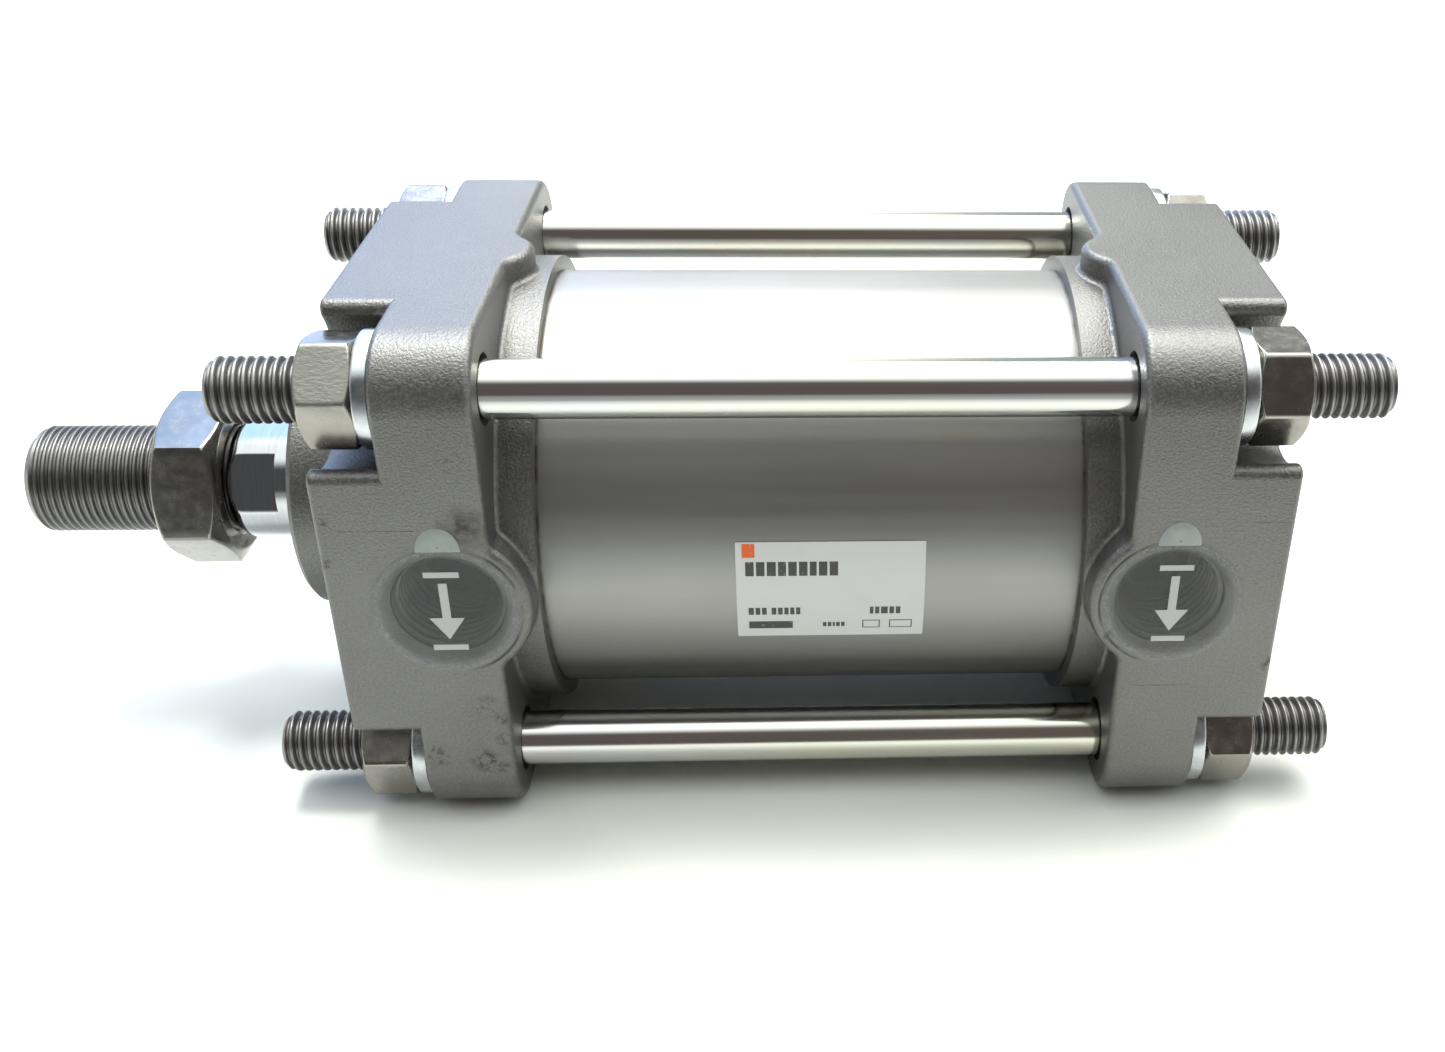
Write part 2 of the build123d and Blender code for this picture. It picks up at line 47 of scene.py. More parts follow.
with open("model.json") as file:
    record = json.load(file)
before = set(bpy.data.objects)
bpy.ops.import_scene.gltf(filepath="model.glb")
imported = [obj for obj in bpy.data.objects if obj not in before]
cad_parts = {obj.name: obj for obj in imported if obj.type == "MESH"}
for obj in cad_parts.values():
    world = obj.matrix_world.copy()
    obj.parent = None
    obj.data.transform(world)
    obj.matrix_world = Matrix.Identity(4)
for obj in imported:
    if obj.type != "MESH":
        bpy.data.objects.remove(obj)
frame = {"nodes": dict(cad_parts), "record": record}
cad_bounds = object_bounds()
nodes = frame["nodes"]
mounts = {mount["name"]: mount for mount in frame["record"]["mounts"]}

MM = 0.001
TAU = 2 * math.pi


# Camera -------------------------------------------------------------------------

CAMERA_PLACE = Vector((86.56, -285.98, 157.82)) * MM
CAMERA_YAW = math.radians(3.511)
CAMERA_PITCH = math.radians(29.884)
CAMERA_ROLL = math.radians(1.326)
SENSOR_WIDTH = 36.0
FOCAL_LENGTH = 38.02
SHIFT = (-0.1134, -0.0177)


def add_camera():
    forward = Vector((
        math.sin(CAMERA_YAW) * math.cos(CAMERA_PITCH),
        math.cos(CAMERA_YAW) * math.cos(CAMERA_PITCH),
        -math.sin(CAMERA_PITCH),
    ))
    level = Vector((math.cos(CAMERA_YAW), -math.sin(CAMERA_YAW), 0))
    upright = level.cross(forward)
    right = level * math.cos(CAMERA_ROLL) + upright * math.sin(CAMERA_ROLL)
    up = upright * math.cos(CAMERA_ROLL) - level * math.sin(CAMERA_ROLL)
    data = bpy.data.cameras.new("camera")
    data.sensor_fit = "HORIZONTAL"
    data.sensor_width = SENSOR_WIDTH
    data.lens = FOCAL_LENGTH
    data.shift_x, data.shift_y = SHIFT
    data.clip_start = 0.01
    camera = bpy.data.objects.new("camera", data)
    turn = Matrix((right, up, -forward)).transposed().to_4x4()
    camera.matrix_world = Matrix.Translation(CAMERA_PLACE) @ turn
    bpy.context.scene.collection.objects.link(camera)
    bpy.context.scene.camera = camera


add_camera()


# Material building --------------------------------------------------------------


class Shader:
    """A material's node tree, with short calls for the nodes that the finishes use."""

    def __init__(self, name, **sockets):
        self.material = bpy.data.materials.new(name)
        self.material.use_nodes = True
        self.tree = self.material.node_tree
        self.bsdf = self.tree.nodes["Principled BSDF"]
        self.place = self.node("ShaderNodeTexCoord").outputs["Object"]
        for socket, value in sockets.items():
            self.bsdf.inputs[socket.replace("_", " ")].default_value = value

    def node(self, kind, **settings):
        node = self.tree.nodes.new(kind)
        for key, value in settings.items():
            setattr(node, key, value)
        return node

    def feed(self, socket, value):
        if isinstance(value, bpy.types.NodeSocket):
            self.tree.links.new(value, socket)
        else:
            socket.default_value = value

    def stretched(self, scale):
        mapping = self.node("ShaderNodeMapping")
        self.feed(mapping.inputs["Vector"], self.place)
        mapping.inputs["Scale"].default_value = scale
        return mapping.outputs["Vector"]

    def noise(self, scale, detail=2.0, roughness=0.5, stretch=None):
        node = self.node("ShaderNodeTexNoise")
        self.feed(node.inputs["Vector"], self.stretched(stretch) if stretch else self.place)
        node.inputs["Scale"].default_value = scale
        node.inputs["Detail"].default_value = detail
        node.inputs["Roughness"].default_value = roughness
        return node.outputs["Fac"]

    def cells(self, scale):
        node = self.node("ShaderNodeTexVoronoi")
        self.feed(node.inputs["Vector"], self.place)
        node.inputs["Scale"].default_value = scale
        return node.outputs["Distance"]

    def ramp(self, value, low, high, start=0.0, end=1.0):
        """Goes from start to end while the value goes from low to high, and stays there beyond."""
        node = self.node("ShaderNodeMapRange", clamp=True)
        self.feed(node.inputs["Value"], value)
        for name, number in zip(("From Min", "From Max", "To Min", "To Max"), (low, high, start, end)):
            node.inputs[name].default_value = number
        return node.outputs["Result"]

    def math(self, operation, a, b=0.0):
        node = self.node("ShaderNodeMath", operation=operation)
        self.feed(node.inputs[0], a)
        self.feed(node.inputs[1], b)
        return node.outputs[0]

    def mix(self, amount, a, b):
        node = self.node("ShaderNodeMix", data_type="RGBA")
        self.feed(node.inputs[0], amount)
        self.feed(node.inputs[6], a)
        self.feed(node.inputs[7], b)
        return node.outputs[2]

    def split(self, vector):
        node = self.node("ShaderNodeSeparateXYZ")
        self.feed(node.inputs[0], vector)
        return tuple(node.outputs)

    def attribute(self, name):
        return self.node("ShaderNodeAttribute", attribute_name=name).outputs["Fac"]

    def near(self, place, radius):
        """1 at a place in the frame, falling to 0 at the radius."""
        node = self.node("ShaderNodeVectorMath", operation="DISTANCE")
        self.feed(node.inputs[0], self.place)
        node.inputs[1].default_value = place
        return self.ramp(node.outputs["Value"], 0, radius, 1, 0)

    def bump(self, height, distance, strength=1.0, after=None):
        """A normal raised by the height, whose full range is the distance in metres."""
        node = self.node("ShaderNodeBump")
        node.inputs["Distance"].default_value = distance
        node.inputs["Strength"].default_value = strength
        self.feed(node.inputs["Height"], height)
        if after is not None:
            self.feed(node.inputs["Normal"], after)
        return node.outputs["Normal"]

    def set(self, socket, value):
        self.feed(self.bsdf.inputs[socket], value)


def grey(value, warm=0.0):
    """A grey, turned towards red by the share given in warm."""
    return (value * (1 + warm), value, value * (1 - warm), 1)


# Finishes -----------------------------------------------------------------------


# Thin lines scratched across the front faces: from X, to X, at height Z, in mm
SCRIBED_LINES = ((4.6, 17.2, 17.0), (167.7, 174.2, 17.4), (149.5, 160.1, -19.1))
SCRIBED_OUTER = 0.13 * MM
SCRIBED_INNER = 0.05 * MM
# A ring of grime round the inner half of each port film
GRIME_RADIUS = 13.75 * MM
GRIME_OUTER = 0.32 * MM
GRIME_INNER = 0.12 * MM
# The dark stain above the rod-end port
STAIN_PLACE = (26.0 * MM, -51 * MM, 17.2 * MM)
STAIN_RADIUS = 5.5 * MM
# Where the tube goes into the covers' collars
TUBE_SEAMS = (37 * MM, 139 * MM)
# Grubby patches: centre in mm, radius in mm, strength
SCUFFS = (
    ((25.9, -51, -22.1), 3.2, 0.8), ((24.5, -51, -34.9), 3.6, 1.0), ((15.3, -51, -33.7), 3.2, 0.9),
    ((28.6, -51, -25.0), 1.8, 0.9), ((28.2, -51, -30.0), 1.8, 0.9), ((27.4, -51, -36.5), 1.8, 0.9),
    ((1.8, -51, 19.0), 1.1, 0.9), ((0.8, -51, 10.5), 2.0, 0.5), ((144.1, -51, -7.4), 1.7, 1.3),
    ((175.9, -51, -14.4), 2.4, 1.0), ((25.4, -51, 30.8), 2.6, 0.6), ((144.0, -36, 51), 3.0, 0.7),
    ((140.5, -20, 50), 2.6, 0.8), ((141.0, 6, 50), 2.4, 0.8), ((31.0, -8, -51), 4.0, 0.8),
)


def cast_dirt(s):
    """Marks of use on the castings, from 0 to 1: pits, thin scribed lines, grime by the ports and scuffs."""
    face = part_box("rod_cover")[0].y
    rod_port = mounts["port_rod_end"]["pos_m"][0]
    head_port = mounts["port_head_end"]["pos_m"][0]
    x, y, z = s.split(s.place)
    on_front = s.ramp(y, face + 0.4 * MM, face + 0.2 * MM)
    broken = s.noise(700, 3.0, 0.6)
    pits = s.ramp(s.cells(150), 0.050, 0.030)
    marks = s.math("MULTIPLY", pits, s.ramp(s.noise(55, 2.0), 0.60, 0.66))
    for start, end, height in SCRIBED_LINES:
        line = s.ramp(s.math("ABSOLUTE", s.math("SUBTRACT", z, height * MM)), SCRIBED_OUTER, SCRIBED_INNER)
        line = s.math("MULTIPLY", line, s.ramp(x, (start - 1) * MM, start * MM))
        line = s.math("MULTIPLY", line, s.ramp(x, (end + 1) * MM, end * MM))
        line = s.math("MULTIPLY", line, s.ramp(broken, 0.35, 0.65, 0.1, 0.5))
        marks = s.math("MAXIMUM", marks, s.math("MULTIPLY", line, on_front))
    for centre, side in ((rod_port, 1), (head_port, -1)):
        across = s.math("SUBTRACT", x, centre)
        reach = s.math("SQRT", s.math("ADD", s.math("POWER", across, 2), s.math("POWER", z, 2)))
        from_ring = s.math("ABSOLUTE", s.math("SUBTRACT", reach, GRIME_RADIUS))
        ring = s.ramp(from_ring, GRIME_OUTER, GRIME_INNER)
        ring = s.math("MULTIPLY", ring, s.ramp(s.math("MULTIPLY", across, side), 3 * MM, 8 * MM))
        ring = s.math("MULTIPLY", ring, s.ramp(s.noise(130, 2.0), 0.34, 0.52))
        marks = s.math("MAXIMUM", marks, s.math("MULTIPLY", ring, on_front))
    for place, radius, amount in SCUFFS:
        spot = s.ramp(s.near([c * MM for c in place], radius * MM), 0.0, 0.6)
        spot = s.math("MULTIPLY", spot, s.ramp(broken, 0.46, 0.60, 0, amount))
        marks = s.math("MAXIMUM", marks, spot)
    return marks


def cast_finish():
    """Blasted aluminium casting: orange-peel grain, faint blotches and marks of use."""
    s = Shader("cast_aluminium", Metallic=0.85)
    peel = s.noise(2000, 2.5, 0.6)
    grain = s.noise(3000, 1.0)
    blotch = s.noise(34, 4.0, 0.6)
    base = s.mix(s.ramp(blotch, 0.35, 0.7), (0.133, 0.131, 0.125, 1), (0.160, 0.158, 0.150, 1))
    base = s.mix(s.ramp(peel, 0.38, 0.68, 0, 0.7), base, (0.215, 0.212, 0.202, 1))
    stain = s.near(STAIN_PLACE, STAIN_RADIUS)
    stain = s.math("MULTIPLY", stain, s.ramp(s.noise(420, 3.0), 0.25, 0.6, 0, 1.3))
    base = s.mix(stain, base, (0.062, 0.056, 0.050, 1))
    marks = cast_dirt(s)
    base = s.mix(s.math("MULTIPLY", marks, 0.85), base, (0.05, 0.046, 0.042, 1))
    s.set("Base Color", base)
    s.set("Roughness", s.ramp(peel, 0.3, 0.7, 0.36, 0.50))
    fine = s.bump(grain, 0.00005, 0.45)
    height = s.math("SUBTRACT", peel, s.math("MULTIPLY", marks, 0.6))
    s.set("Normal", s.bump(height, 0.00022, 0.66, fine))
    return s.material


def tube_finish():
    """Satin anodised tube with faint drawing lines along it and a few specks."""
    s = Shader("anodised_tube", Metallic=0.9)
    drawn = s.noise(260, 3.0, 0.6, stretch=(0.04, 1, 1))
    cloud = s.noise(22, 3.0)
    base = s.mix(s.ramp(cloud, 0.3, 0.7), (0.262, 0.260, 0.250, 1), (0.290, 0.288, 0.277, 1))
    specks = s.ramp(s.cells(95), 0.040, 0.024)
    specks = s.math("MULTIPLY", specks, s.ramp(s.noise(41, 2.0), 0.50, 0.56))
    base = s.mix(specks, base, (0.08, 0.075, 0.07, 1))
    x = s.split(s.place)[0]
    for seam in TUBE_SEAMS:
        grime = s.ramp(s.math("ABSOLUTE", s.math("SUBTRACT", x, seam)), 0.7 * MM, 0.15 * MM)
        grime = s.math("MULTIPLY", grime, s.ramp(s.noise(190, 3.0), 0.35, 0.55, 0.25, 0.9))
        base = s.mix(grime, base, (0.075, 0.065, 0.04, 1))
    s.set("Base Color", base)
    s.set("Roughness", s.ramp(drawn, 0.3, 0.7, 0.37, 0.45))
    s.set("Normal", s.bump(s.noise(2600, 1.0), 0.00003, 0.35, s.bump(drawn, 0.00002, 0.4)))
    return s.material


def machined_finish():
    """Turned aluminium of the piston and cushion rings: fine rings about the axis."""
    s = Shader("machined_aluminium", Metallic=1.0)
    rings = s.noise(2600, 2.0, 0.5, stretch=(1, 0.02, 0.02))
    s.set("Base Color", s.mix(s.ramp(rings, 0.3, 0.7), (0.60, 0.60, 0.61, 1), (0.72, 0.72, 0.73, 1)))
    s.set("Roughness", s.ramp(rings, 0.3, 0.7, 0.22, 0.38))
    s.set("Normal", s.bump(rings, 0.00002, 0.5))
    return s.material


def zinc_finish():
    """Bright zinc on drawn bar: long streaks and a faint yellow and violet cast."""
    s = Shader("zinc_steel", Metallic=1.0)
    streak = s.noise(900, 3.0, 0.6, stretch=(0.012, 1, 1))
    tint = s.noise(55, 3.0, 0.6, stretch=(0.35, 1, 1))
    base = s.mix(s.ramp(tint, 0.38, 0.62), (0.57, 0.565, 0.455, 1), (0.545, 0.54, 0.555, 1))
    base = s.mix(s.ramp(streak, 0.35, 0.75, 0, 0.5), base, (0.64, 0.645, 0.62, 1))
    s.set("Base Color", base)
    s.set("Roughness", s.ramp(streak, 0.3, 0.7, 0.10, 0.19))
    s.set("Normal", s.bump(streak, 0.00001, 0.5, s.bump(s.noise(160, 2.0), 0.00003, 0.15)))
    return s.material


def thread_finish(name, crest, root_shade, roughness):
    """Rolled thread: satin crests and roots darkened by painted shade."""
    s = Shader(name, Metallic=1.0)
    groove = s.attribute("groove")
    grime = s.noise(700, 3.0)
    # Painted shade: the root colour darkens the thread's grooves where shade would fall.
    base = s.mix(s.ramp(groove, 0.15, 0.95), crest, root_shade)
    base = s.mix(s.ramp(grime, 0.5, 0.8, 0, 0.35), base, grey(0.10, 0.05))
    s.set("Base Color", base)
    s.set("Roughness", s.ramp(grime, 0.3, 0.7, roughness, roughness + 0.14))
    s.set("Normal", s.bump(s.noise(1500, 2.0), 0.00003, 0.35))
    return s.material


def nickel_finish():
    """Nickel plate on forged hexagons, with small dents; one nut is worn rough and speckled."""
    s = Shader("nickel_nut", Metallic=1.0)
    rough = s.noise(420, 4.0, 0.6)
    cloud = s.noise(90, 3.0)
    low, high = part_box("tie_rod_nut_rod_end_front_upper")
    worn = s.near(((low.x + high.x) / 2, low.y + 3.6 * MM, high.z - 4.2 * MM), 8.5 * MM)
    worn = s.ramp(worn, 0.05, 0.35)
    flecks = s.noise(1900, 3.0, 0.6, stretch=(0.5, 1, 1))
    base = s.mix(s.ramp(cloud, 0.35, 0.65), (0.255, 0.243, 0.215, 1), (0.315, 0.303, 0.272, 1))
    dents = s.ramp(s.cells(420), 0.09, 0.05)
    dents = s.math("MULTIPLY", dents, s.ramp(s.noise(150, 2.0), 0.54, 0.62))
    base = s.mix(dents, base, (0.60, 0.58, 0.54, 1))
    base = s.mix(s.math("MULTIPLY", worn, s.ramp(flecks, 0.38, 0.62)), base, (0.25, 0.255, 0.225, 1))
    s.set("Base Color", base)
    satin = s.ramp(rough, 0.3, 0.7, 0.17, 0.30)
    s.set("Roughness", s.math("ADD", satin, s.math("MULTIPLY", worn, 0.25)))
    ridges = s.bump(s.math("MULTIPLY", worn, flecks), 0.00012, 0.7)
    s.set("Normal", s.bump(rough, 0.00006, 0.4, s.bump(dents, 0.0001, 0.5, ridges)))
    return s.material


def washer_finish():
    """Bluish bright zinc on the spring washers."""
    s = Shader("zinc_washer", Metallic=1.0)
    cloud = s.noise(260, 3.0)
    s.set("Base Color", s.mix(s.ramp(cloud, 0.35, 0.65), (0.42, 0.445, 0.455, 1), (0.56, 0.58, 0.585, 1)))
    s.set("Roughness", s.ramp(cloud, 0.3, 0.7, 0.20, 0.32))
    s.set("Normal", s.bump(s.noise(900, 2.0), 0.00002, 0.4))
    return s.material


def chrome_finish():
    """Ground hard chrome: very fine rings about the axis."""
    s = Shader("hard_chrome", Metallic=1.0)
    ground = s.noise(5200, 2.0, 0.5, stretch=(1, 0.02, 0.02))
    s.set("Base Color", s.mix(s.ramp(ground, 0.3, 0.7), (0.41, 0.425, 0.435, 1), (0.47, 0.485, 0.495, 1)))
    s.set("Roughness", s.ramp(ground, 0.3, 0.7, 0.08, 0.15))
    s.set("Normal", s.bump(ground, 0.000006, 0.4, s.bump(s.noise(240, 3.0), 0.00002, 0.2)))
    return s.material


def spring_steel_finish():
    """Oiled spring steel of the snap rings."""
    s = Shader("spring_steel", Metallic=1.0)
    oil = s.noise(300, 3.0)
    s.set("Base Color", s.mix(s.ramp(oil, 0.35, 0.65), (0.16, 0.155, 0.15, 1), (0.27, 0.265, 0.26, 1)))
    s.set("Roughness", s.ramp(oil, 0.3, 0.7, 0.25, 0.42))
    s.set("Normal", s.bump(s.noise(1200, 2.0), 0.00003, 0.4))
    return s.material


def bronze_finish():
    """Sintered bronze of the rod bush, with its fine pores."""
    s = Shader("bronze", Metallic=1.0)
    pores = s.ramp(s.cells(2200), 0.25, 0.12)
    base = s.mix(s.ramp(s.noise(200, 3.0), 0.3, 0.7), (0.50, 0.34, 0.15, 1), (0.62, 0.45, 0.22, 1))
    s.set("Base Color", s.mix(pores, base, (0.12, 0.08, 0.04, 1)))
    s.set("Roughness", s.ramp(pores, 0, 1, 0.34, 0.6))
    s.set("Normal", s.bump(pores, 0.00003, -0.5))
    return s.material


def moulded_finish(name, dark, light, roughness):
    """Rubber, resin and bonded pieces: soft mottling and a fine moulded skin."""
    s = Shader(name)
    mottle = s.noise(240, 4.0)
    s.set("Base Color", s.mix(s.ramp(mottle, 0.3, 0.7), dark, light))
    s.set("Roughness", s.ramp(mottle, 0.3, 0.7, roughness, roughness + 0.12))
    s.set("Normal", s.bump(s.noise(1800, 2.0), 0.00003, 0.4))
    return s.material


def label_finish():
    """White foil label with a faint paper tooth and grubby patches."""
    s = Shader("label", Metallic=0.0)
    tooth = s.noise(1400, 2.0)
    dirt = s.noise(120, 4.0)
    base = s.mix(s.ramp(dirt, 0.55, 0.8, 0, 0.3), (0.62, 0.63, 0.615, 1), (0.48, 0.49, 0.475, 1))
    s.set("Base Color", base)
    s.set("Roughness", s.ramp(tooth, 0.3, 0.7, 0.36, 0.48))
    s.set("Normal", s.bump(tooth, 0.00001, 0.4))
    return s.material


def ink_finish(name, colour):
    """Printing ink, slightly worn through."""
    s = Shader(name)
    wear = s.noise(1500, 3.0)
    s.set("Base Color", s.mix(s.ramp(wear, 0.62, 0.78, 0, 0.4), colour, (0.6, 0.6, 0.6, 1)))
    s.set("Roughness", s.ramp(wear, 0.3, 0.7, 0.40, 0.5))
    return s.material


def film_finish():
    """Frosted see-through film, cloudier towards its edge."""
    s = Shader("port_film", IOR=1.35)
    haze = s.noise(900, 2.0)
    edge = s.attribute("edge")
    s.set("Base Color", s.mix(s.ramp(haze, 0.3, 0.7), (0.29, 0.295, 0.29, 1), (0.33, 0.335, 0.33, 1)))
    cloudy = s.math("ADD", s.ramp(haze, 0.3, 0.7, 0.22, 0.27), s.math("MULTIPLY", edge, 0.26))
    s.set("Alpha", cloudy)
    s.set("Roughness", s.ramp(haze, 0.3, 0.7, 0.34, 0.46))
    s.set("Normal", s.bump(s.noise(60, 1.0), 0.0002, 0.15))
    return s.material


def tab_finish():
    """Pale cloudy plastic of the films' pull tabs."""
    s = Shader("film_tab")
    haze = s.noise(500, 3.0)
    s.set("Base Color", s.mix(s.ramp(haze, 0.3, 0.7), (0.28, 0.32, 0.305, 1), (0.33, 0.365, 0.35, 1)))
    s.set("Roughness", s.ramp(haze, 0.3, 0.7, 0.45, 0.6))
    s.set("Normal", s.bump(haze, 0.00002, 0.4))
    return s.material


FINISHES = {
    "cast_aluminium": cast_finish(),
    "anodised_tube": tube_finish(),
    "machined_aluminium": machined_finish(),
    "zinc_steel": zinc_finish(),
    "zinc_washer": washer_finish(),
    "nickel_nut": nickel_finish(),
    "spring_steel": spring_steel_finish(),
    "hard_chrome": chrome_finish(),
    "bronze": bronze_finish(),
    "seal_rubber": moulded_finish("seal_rubber", grey(0.012), grey(0.03), 0.55),
    "wear_resin": moulded_finish("wear_resin", (0.12, 0.07, 0.04, 1), (0.20, 0.13, 0.08, 1), 0.5),
    "magnet": moulded_finish("magnet", grey(0.02), grey(0.05), 0.45),
    "label": label_finish(),
    "port_film": film_finish(),
}
# Each thread's second grey is the painted shade of its roots.
ROD_THREAD = thread_finish("rod_thread", grey(0.175, 0.02), grey(0.125, 0.04), 0.28)
STUD_THREAD = thread_finish("stud_thread", grey(0.25, 0.02), grey(0.15, 0.04), 0.36)
PORT_THREAD = thread_finish("port_thread", grey(0.13, 0.0), grey(0.06, 0.0), 0.45)
INK = ink_finish("label_ink", grey(0.045))
ORANGE_INK = ink_finish("label_orange_ink", (0.75, 0.13, 0.02, 1))
WHITE_INK = ink_finish("film_white_ink", grey(0.47))
FILM_TAB = tab_finish()

for part in frame["record"]["subparts"]:
    node = nodes[part["node"]]
    node.data.materials.clear()
    node.data.materials.append(FINISHES[part["material_slot"]])


# Mesh building ------------------------------------------------------------------


def add_piece(name, verts, faces, material, body, replaces=(), sharp=35.0):
    mesh = bpy.data.meshes.new(name)
    mesh.from_pydata([tuple(v) for v in verts], [], faces)
    mesh.validate()
    mesh.polygons.foreach_set("use_smooth", [True] * len(mesh.polygons))
    mesh.set_sharp_from_angle(angle=math.radians(sharp))
    mesh.materials.append(material)
    piece = bpy.data.objects.new(name, mesh)
    bpy.context.scene.collection.objects.link(piece)
    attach(piece, body)
    if replaces:
        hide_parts(*replaces)
    return piece


def quads_between(start_a, start_b, count):
    """Faces between two rings of vertices that each hold count points."""
    return [
        (start_a + i, start_a + (i + 1) % count, start_b + (i + 1) % count, start_b + i)
        for i in range(count)
    ]


def turned_skin(stations, centre, around, radius):
    """Rings of points about a line along X: radius(x, angle, station) gives each one's distance."""
    cy, cz = centre
    verts = []
    for index, x in enumerate(stations):
        for i in range(around):
            angle = TAU * i / around
            r = radius(x, angle, index)
            verts.append((x, cy + r * math.cos(angle), cz + r * math.sin(angle)))
    faces = []
    for index in range(len(stations) - 1):
        faces += quads_between((index + 1) * around, index * around, around)
    return verts, faces


def cap(verts, faces, start, around, centre, x, reverse):
    """Closes a ring with a fan to its middle."""
    middle = len(verts)
    verts.append((x, centre[0], centre[1]))
    for i in range(around):
        a = start + i
        b = start + (i + 1) % around
        faces.append((middle, b, a) if reverse else (middle, a, b))


def smooth_min(a, b, softness):
    """The smaller of two lengths, with the corner between them rounded."""
    h = max(softness - abs(a - b), 0.0) / softness
    return min(a, b) - h * h * softness / 4


# Where a thread's crest and root end, as shares of half its pitch, and how rounded its flanks are
THREAD_CREST = 0.80
THREAD_ROOT = 0.22
FLANK_ROUNDING = 0.35
# The chamfer at a thread's tip: its slope, and the rounding where it meets the thread
TIP_SLOPE = 0.9
TIP_ROUNDING = 0.4 * MM


def groove_depth(x, angle, pitch):
    """0 on a right-hand thread's crest, 1 in its root."""
    phase = (x / pitch - angle / TAU) % 1.0
    distance = abs(phase - 0.5) * 2
    t = min(max((THREAD_CREST - distance) / (THREAD_CREST - THREAD_ROOT), 0.0), 1.0)
    return t * t * (3 - 2 * t) * FLANK_ROUNDING + t * (1 - FLANK_ROUNDING)


def store_groove(piece, values):
    """Keeps each vertex's depth in the thread, which the thread materials use to paint shade in its roots.
    """
    attribute = piece.data.attributes.new("groove", "FLOAT", "POINT")
    attribute.data.foreach_set("value", values)


def steps(start, end, size):
    """Evenly spaced numbers from start to end, about size apart."""
    count = max(1, round((end - start) / size))
    return [start + (end - start) * i / count for i in range(count + 1)]


# Tie rods -----------------------------------------------------------------------

STUD_PITCH = 1.75 * MM
STUD_THREAD_DEPTH = 1.0 * MM
STUD_TIP_CUT = 1.1 * MM
SHANK_RADIUS = 5.4 * MM
# How far the thread's ridges go on under the nut, and where the thread's zone ends inside the cover
RIDGES_UNDER_NUT = 2 * MM
THREAD_PAST_NUT = 11 * MM
CORNER_NAMES = ("front_upper", "front_lower", "back_upper", "back_lower")


def add_tie_rod(corner):
    """One tie rod: rolled M12 threads with chamfered tips, and the drawn shank between them."""
    node = "tie_rod_" + corner
    low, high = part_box(node)
    centre = ((low.y + high.y) / 2, (low.z + high.z) / 2)
    major = (high.y - low.y) / 2
    around = 72
    nut_low, nut_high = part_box("tie_rod_nut_rod_end_" + corner)
    threaded = nut_low.x - low.x + RIDGES_UNDER_NUT
    hidden_end = nut_high.x + THREAD_PAST_NUT
    grooves = []

    def radius(x, angle, index):
        from_tip = min(x - low.x, high.x - x)
        depth = groove_depth(x, angle, STUD_PITCH)
        if from_tip > threaded:
            depth = 0.5
        if from_tip > hidden_end - low.x:
            grooves.append(0.0)
            return SHANK_RADIUS
        grooves.append(depth)
        tip = major - STUD_TIP_CUT + from_tip * TIP_SLOPE
        return smooth_min(major - STUD_THREAD_DEPTH * depth, tip, TIP_ROUNDING)

    fine = steps(low.x, low.x + threaded, STUD_PITCH / 14)
    stations = fine + [fine[-1] + 0.2 * MM, hidden_end, hidden_end + 0.4 * MM]
    mirrored = [low.x + high.x - x for x in reversed(stations)]
    verts, faces = turned_skin(stations + mirrored, centre, around, radius)
    cap(verts, faces, 0, around, centre, low.x, False)
    cap(verts, faces, len(stations + mirrored) * around - around, around, centre, high.x, True)
    grooves += [0.1, 0.1]
    piece = add_piece(
        "tie_rod_" + corner + "_turned", verts, faces, FINISHES["zinc_steel"], "barrel",
        [node], sharp=60,
    )
    store_groove(piece, grooves)
    piece.data.materials.append(STUD_THREAD)
    for polygon in piece.data.polygons:
        x = polygon.center.x
        if min(x - low.x, high.x - x) < hidden_end - low.x:
            polygon.material_index = 1


for corner in CORNER_NAMES:
    add_tie_rod(corner)


# Nuts and washers ---------------------------------------------------------------

# How far each hexagon is turned: rod end, head end, degrees from +Y towards +Z
NUT_TURNS = {
    "front_upper": (49.0, 4.0),
    "front_lower": (49.0, 53.0),
    "back_upper": (13.0, 38.0),
    "back_lower": (10.0, 27.0),
}
ROD_NUT_TURN = 13.0
NUT_WIDTH = 19 * MM
NUT_BORE_RADIUS = 6.05 * MM
ROD_NUT_WIDTH = 32 * MM
ROD_NUT_BORE_RADIUS = 11.05 * MM
CHAMFER_SLOPE = math.tan(math.radians(30))
# A tie-rod nut's details; the jam nut's are larger in step with its width
NUT_FACE_SHARE = 0.955
NUT_CHAMFER = 1.6 * MM
NUT_CHAMFER_STEP = 0.1 * MM
NUT_ROUNDING = 0.35 * MM
NUT_MOUTH = 0.9 * MM
NUT_LIP = 0.1 * MM
NUT_LIP_SLOPE = 1.2


def hexagon_radius(angle, turn, width, rounding):
    """Distance from a hexagon's middle to its side, with the corners slightly rounded."""
    from_corner = (angle - turn) % (TAU / 6) - TAU / 12
    half = width / 2
    this_flat = half / math.cos(from_corner)
    neighbour = half / math.cos(TAU / 6 - abs(from_corner))
    return smooth_min(this_flat, neighbour, rounding)


